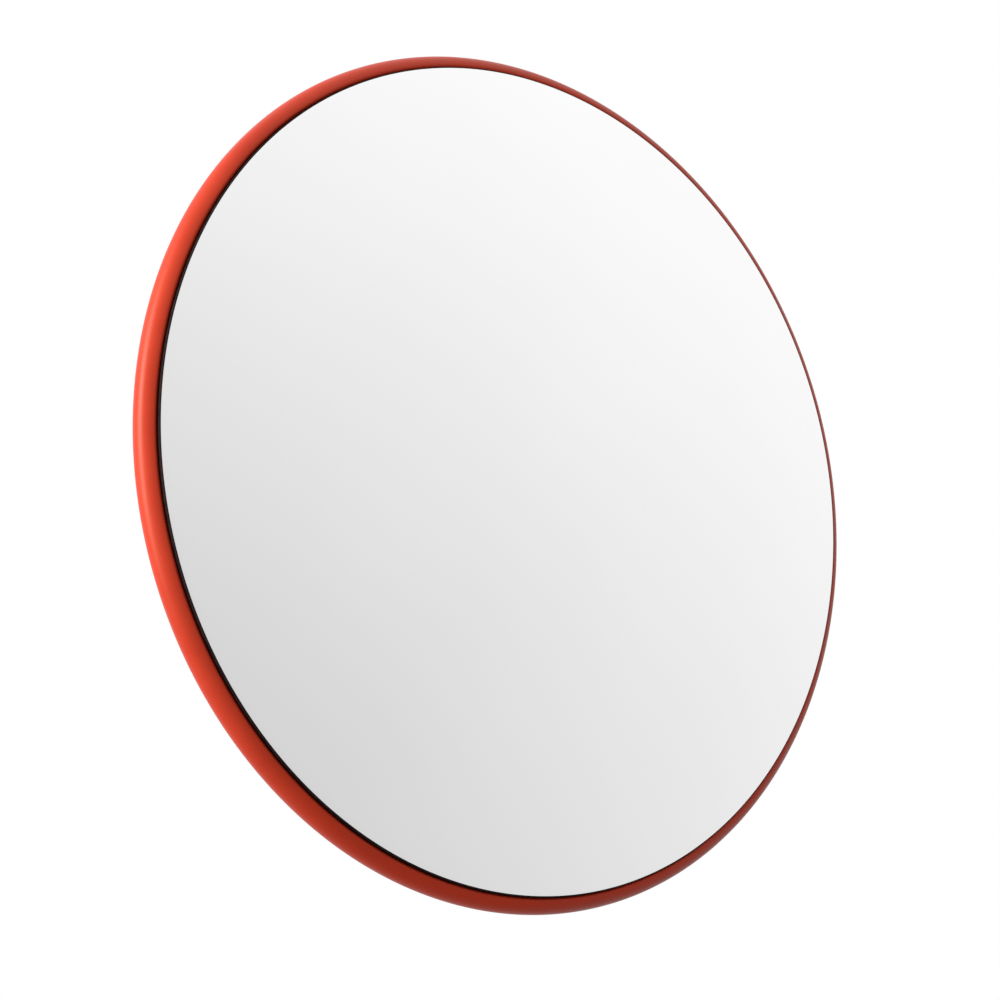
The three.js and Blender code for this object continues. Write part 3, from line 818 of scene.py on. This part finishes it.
def bolt(size, length):
    """A hexagon-headed bolt, its head above z = 0 and its thread ending at -length."""
    shank, threaded = size["shank"], size["threaded"]
    tip = shank - 0.6 * size["pitch"]
    count = int(threaded / size["pitch"]) * THREAD_STEPS
    start = -length + 0.8 * size["pitch"]
    thread = [thread_ring(size, start + threaded * (1 - i / count)) for i in range(count + 1)]
    rings = [
        *hexagon_head(size),
        circle(shank + 0.4 * MM, 0),
        circle(shank, -0.4 * MM),
        circle(shank, start + threaded + 0.5 * size["pitch"]),
        *thread,
        circle(tip, -length + 0.15 * MM),
        circle(tip - 0.2 * MM, -length),
        circle(0, -length),
    ]
    return smooth(revolved("bolt", rings, even_angles(HARDWARE_STEPS), "Z"), 34)


def nut(size):
    """A hexagon nut on z = 0, with a rolled collar on top when it is a lock nut."""
    flat, across, height = 0.48 * size["across"], size["across"], size["nut"]
    bore = size["shank"] + 0.05 * MM
    rings = [
        circle(bore, 0.5 * MM),
        circle(bore + 0.5 * MM, 0),
        circle(flat, 0),
        chamfered_hexagon(across, flat, 0, CHAMFER_SLOPE),
        chamfered_hexagon(across, flat, height, -CHAMFER_SLOPE),
        circle(flat, height),
    ]
    if size["collar"]:
        top = height + size["collar"]
        radius = size["collar_radius"]
        roll = 0.9 * MM
        rings += [
            circle(radius + 0.25 * MM, height),
            circle(radius, height + 0.25 * MM),
            *[circle(r, z) for r, z in arc((radius - roll, top - roll), roll, 0, 90, 6)],
            circle(bore + 0.9 * MM, top),
            circle(bore + 0.7 * MM, top - 0.2 * MM),
            circle(bore + 0.7 * MM, top - 1.0 * MM),
            circle(bore, top - 1.0 * MM),
        ]
    else:
        rings += [circle(bore + 0.5 * MM, height), circle(bore, height - 0.5 * MM)]
    return smooth(revolved("nut", rings, even_angles(HARDWARE_STEPS), "Z"), 28)


def tube(inner, outer, length, edge):
    """A washer, sleeve or ring on z = 0 with rounded edges."""
    corners = [(inner, 0), (outer, 0), (outer, length), (inner, length)]
    section = filleted([(radius, z, edge) for radius, z in corners], 3)
    rings = [circle(radius, z) for radius, z in section]
    return smooth(revolved("tube", rings, even_angles(HARDWARE_STEPS), "Z"), 40)


def stand(piece, name, direction, base):
    """Turns a piece made along +Z to point along the direction, with its foot at base."""
    piece.name = name
    turn = Vector((0, 0, 1)).rotation_difference(Vector(direction)).to_matrix().to_4x4()
    turn.translation = base
    piece.matrix_world = turn
    return piece


def foot_of(node, direction):
    """The middle of the box face that looks away from the direction, and the box's length along it."""
    low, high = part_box(node)
    middle, half = (low + high) / 2, (high - low) / 2
    direction = Vector(direction)
    reach = abs(half.dot(direction))
    return middle - direction * reach, 2 * reach


def put_bolt(node, size, direction):
    foot, length = foot_of(node, direction)
    shank_length = length - size["head"]
    under_head = foot + Vector(direction) * shank_length
    dress(stand(bolt(size, shank_length), f"{node}_detail", direction, under_head), node)


def put_nut(node, size, direction):
    foot, _ = foot_of(node, direction)
    dress(stand(nut(size), f"{node}_detail", direction, foot), node)
    if size["collar"]:
        bore = size["shank"]
        insert = tube(bore + 0.02 * MM, bore + 0.7 * MM, 0.85 * MM, 0.1 * MM)
        base = foot + Vector(direction) * (size["nut"] + size["collar"] - 1.0 * MM)
        dress(stand(insert, f"{node}_insert", direction, base), None, BODY_OF[node], "white_nylon")


def put_tube(node, direction, inner, edge, gap=0.0):
    """A washer or sleeve for its node; a gap keeps its far face clear of a part that turns on it."""
    foot, length = foot_of(node, direction)
    low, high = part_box(node)
    outer = max(high - low) / 2 if length < max(high - low) else sorted(high - low)[0] / 2
    dress(stand(tube(inner, outer, length - gap, edge), f"{node}_detail", direction, foot), node)


def flange_screw(node):
    """A pan-headed thread-forming screw."""
    foot, length = foot_of(node, (0, 1, 0))
    size = {"shank": 1.5 * MM, "pitch": 0.8 * MM}
    head, height, rounding = 2.75 * MM, 1.8 * MM, 1.3 * MM
    dome = [circle(r, z) for r, z in arc((head - rounding, height - rounding), rounding, 90, 0, 6)]
    shank_length = length - height
    threaded = shank_length - 1.2 * MM
    count = 48
    thread = [thread_ring(size, -0.4 * MM - threaded * i / count) for i in range(count + 1)]
    rings = [
        circle(0, height - 0.7 * MM),
        circle(0.9 * MM, height - 0.7 * MM),
        circle(1.0 * MM, height),
        *dome,
        circle(head, 0),
        circle(size["shank"], 0),
        *thread,
        circle(0.5 * MM, -shank_length),
        circle(0, -shank_length),
    ]
    screw = smooth(revolved("screw", rings, even_angles(SCREW_STEPS), "Z"), 40)
    under_head = foot + Vector((0, shank_length, 0))
    dress(stand(screw, f"{node}_detail", (0, 1, 0), under_head), node)


def hardware():
    put_bolt("pan_bolt", M8, (0, 0, 1))
    put_nut("pan_lock_nut", M8, (0, 0, -1))
    put_bolt("tilt_bolt", M8, (1, 0, 0))
    put_nut("tilt_lock_nut", M8, (-1, 0, 0))
    for name, side in (("top", 1), ("bottom", -1)):
        put_tube(f"pan_washer_{name}", (0, 0, side), M8["hole"], 0.3 * MM)
        put_tube(f"pan_friction_washer_{name}", (0, 0, side), M8["hole"], 0.35 * MM, RUNNING_GAP)
    for name, side in (("right", 1), ("left", -1)):
        put_tube(f"tilt_washer_{name}", (side, 0, 0), M8["hole"], 0.3 * MM)
        put_tube(f"tilt_friction_washer_{name}", (side, 0, 0), M8["hole"], 0.35 * MM, RUNNING_GAP)
    put_tube("pan_spacer", (0, 0, 1), M8["hole"], 0.4 * MM)
    put_tube("tilt_spacer", (1, 0, 0), M8["hole"], 0.4 * MM)
    for i in range(1, 5):
        put_bolt(f"bracket_bolt_{i}", M6, (0, 1, 0))
        put_tube(f"bracket_washer_{i}", (0, 1, 0), M6["hole"], 0.3 * MM)
        put_nut(f"bracket_nut_{i}", M6, (0, -1, 0))
    for i in range(1, 9):
        flange_screw(f"flange_screw_{i}")


# ---- Studio ----
FLOOR_DROP = 1.1
KEY_AZIMUTH, KEY_ELEVATION = -99, 12
KEY_DISTANCE = 1.8
KEY_SIZE = (0.6, 1.6)
KEY_ENERGY = 31.0


def floor():
    size = 60.0
    corners = [(-size, -size), (size, -size), (size, size), (-size, size)]
    plane = new_object("floor", [(x, y, -FLOOR_DROP) for x, y in corners], [(0, 1, 2, 3)])
    finish = Finish("pale_floor", Emission_Color=(1, 1, 1, 1), Emission_Strength=0.22)
    cloud = finish.noise(3, 4)
    colour = finish.ramp(cloud, [(0.3, (0.885, 0.885, 0.885)), (0.7, (0.90, 0.90, 0.90))])
    plane.data.materials.append(finish.use(Base_Color=colour, Roughness=0.85))
    plane.visible_glossy = False
    plane.visible_diffuse = False


class Sky:
    """The world's light: one grey gradient along a direction for each kind of ray."""

    def __init__(self):
        world = bpy.data.worlds.new("studio")
        bpy.context.scene.world = world
        world.use_nodes = True
        self.nodes, self.links = world.node_tree.nodes, world.node_tree.links
        self.nodes.clear()
        self.place = self.nodes.new("ShaderNodeTexCoord").outputs["Generated"]
        self.rays = self.nodes.new("ShaderNodeLightPath").outputs

    def gradient(self, brightest, stops):
        """Greys by how near a direction is to the brightest one: 0 is opposite, 1 is straight at it."""
        towards = self.nodes.new("ShaderNodeVectorMath")
        towards.operation = "DOT_PRODUCT"
        towards.inputs[1].default_value = Vector(brightest).normalized()
        self.links.new(self.place, towards.inputs[0])
        level = self.nodes.new("ShaderNodeMapRange")
        level.inputs["From Min"].default_value = -1.0
        self.links.new(towards.outputs["Value"], level.inputs["Value"])
        ramp = self.nodes.new("ShaderNodeValToRGB")
        while len(ramp.color_ramp.elements) < len(stops):
            ramp.color_ramp.elements.new(0.5)
        for element, (place, grey) in zip(ramp.color_ramp.elements, stops):
            element.position = place
            element.color = (grey, grey, grey, 1)
        self.links.new(level.outputs["Result"], ramp.inputs["Fac"])
        return self.background(ramp.outputs["Color"])

    def background(self, colour):
        made = self.nodes.new("ShaderNodeBackground")
        if isinstance(colour, bpy.types.NodeSocket):
            self.links.new(colour, made.inputs["Color"])
        else:
            made.inputs["Color"].default_value = colour
        return made.outputs["Background"]

    def split(self, kind, usual, special):
        """The special background for one kind of ray, the usual one for the others."""
        made = self.nodes.new("ShaderNodeMixShader")
        self.links.new(self.rays[kind], made.inputs["Fac"])
        self.links.new(usual, made.inputs[1])
        self.links.new(special, made.inputs[2])
        return made.outputs["Shader"]


def studio_sky():
    """White behind the object, a sky that brightens to the upper right for the mirror to show, and
    soft light that is strongest from the left."""
    sky = Sky()
    seen = sky.background((1, 1, 1, 1))
    reflected = sky.gradient((0.50, 0.14, 0.86), [(0.0, 0.58), (0.5, 0.805), (1.0, 1.04)])
    cast = sky.gradient((-0.88, 0.30, 0.37), [(0.0, 0.0), (0.22, 0.06), (0.5, 0.75), (1.0, 1.35)])
    surface = sky.split("Is Camera Ray", sky.split("Is Diffuse Ray", reflected, cast), seen)
    sky.links.new(surface, sky.nodes.new("ShaderNodeOutputWorld").inputs["Surface"])
    bpy.context.scene.view_settings.view_transform = "Standard"


def direction_of(azimuth, elevation):
    """The unit vector towards a viewer; azimuth 0 looks along +Y, and positive ones stand on the right."""
    a, e = math.radians(azimuth), math.radians(elevation)
    return Vector((math.sin(a) * math.cos(e), -math.cos(a) * math.cos(e), math.sin(e)))


def softbox(name, azimuth, elevation, distance, size, energy):
    light = bpy.data.lights.new(name, "AREA")
    light.shape = "RECTANGLE"
    light.size, light.size_y = size
    light.energy = energy
    lamp = bpy.data.objects.new(name, light)
    bpy.context.scene.collection.objects.link(lamp)
    target = Vector((0, EDGE_PLANE, 0))
    back = direction_of(azimuth, elevation)
    lamp.location = target + back * distance
    lamp.rotation_euler = (-back).to_track_quat("-Z", "Y").to_euler()


def camera():
    """The view is from the left and a little below, as a mirror hung above the eye is seen."""
    azimuth, elevation, distance = -37.0, -13.2, 2.0
    aim_right, aim_up = -9.4 * MM, -12.5 * MM
    data = bpy.data.cameras.new("camera")
    data.lens = 139.9
    data.sensor_width = 36
    view = bpy.data.objects.new("camera", data)
    bpy.context.scene.collection.objects.link(view)
    back = direction_of(azimuth, elevation)
    turn = (-back).to_track_quat("-Z", "Y")
    offset = turn @ Vector((aim_right, aim_up, 0))
    view.location = Vector((0, EDGE_PLANE, 0)) + back * distance + offset
    view.rotation_euler = turn.to_euler()
    bpy.context.scene.camera = view


mirror_dome()
edge_seal()
flange_gasket()
rim_trim()
back_shell()
wall_plate()
wall_arm()
swivel_yoke()
head_plate()
head_clevis()
backing_plate()
welds()
hardware()
floor()
studio_sky()
softbox("key", KEY_AZIMUTH, KEY_ELEVATION, KEY_DISTANCE, KEY_SIZE, KEY_ENERGY)
camera()
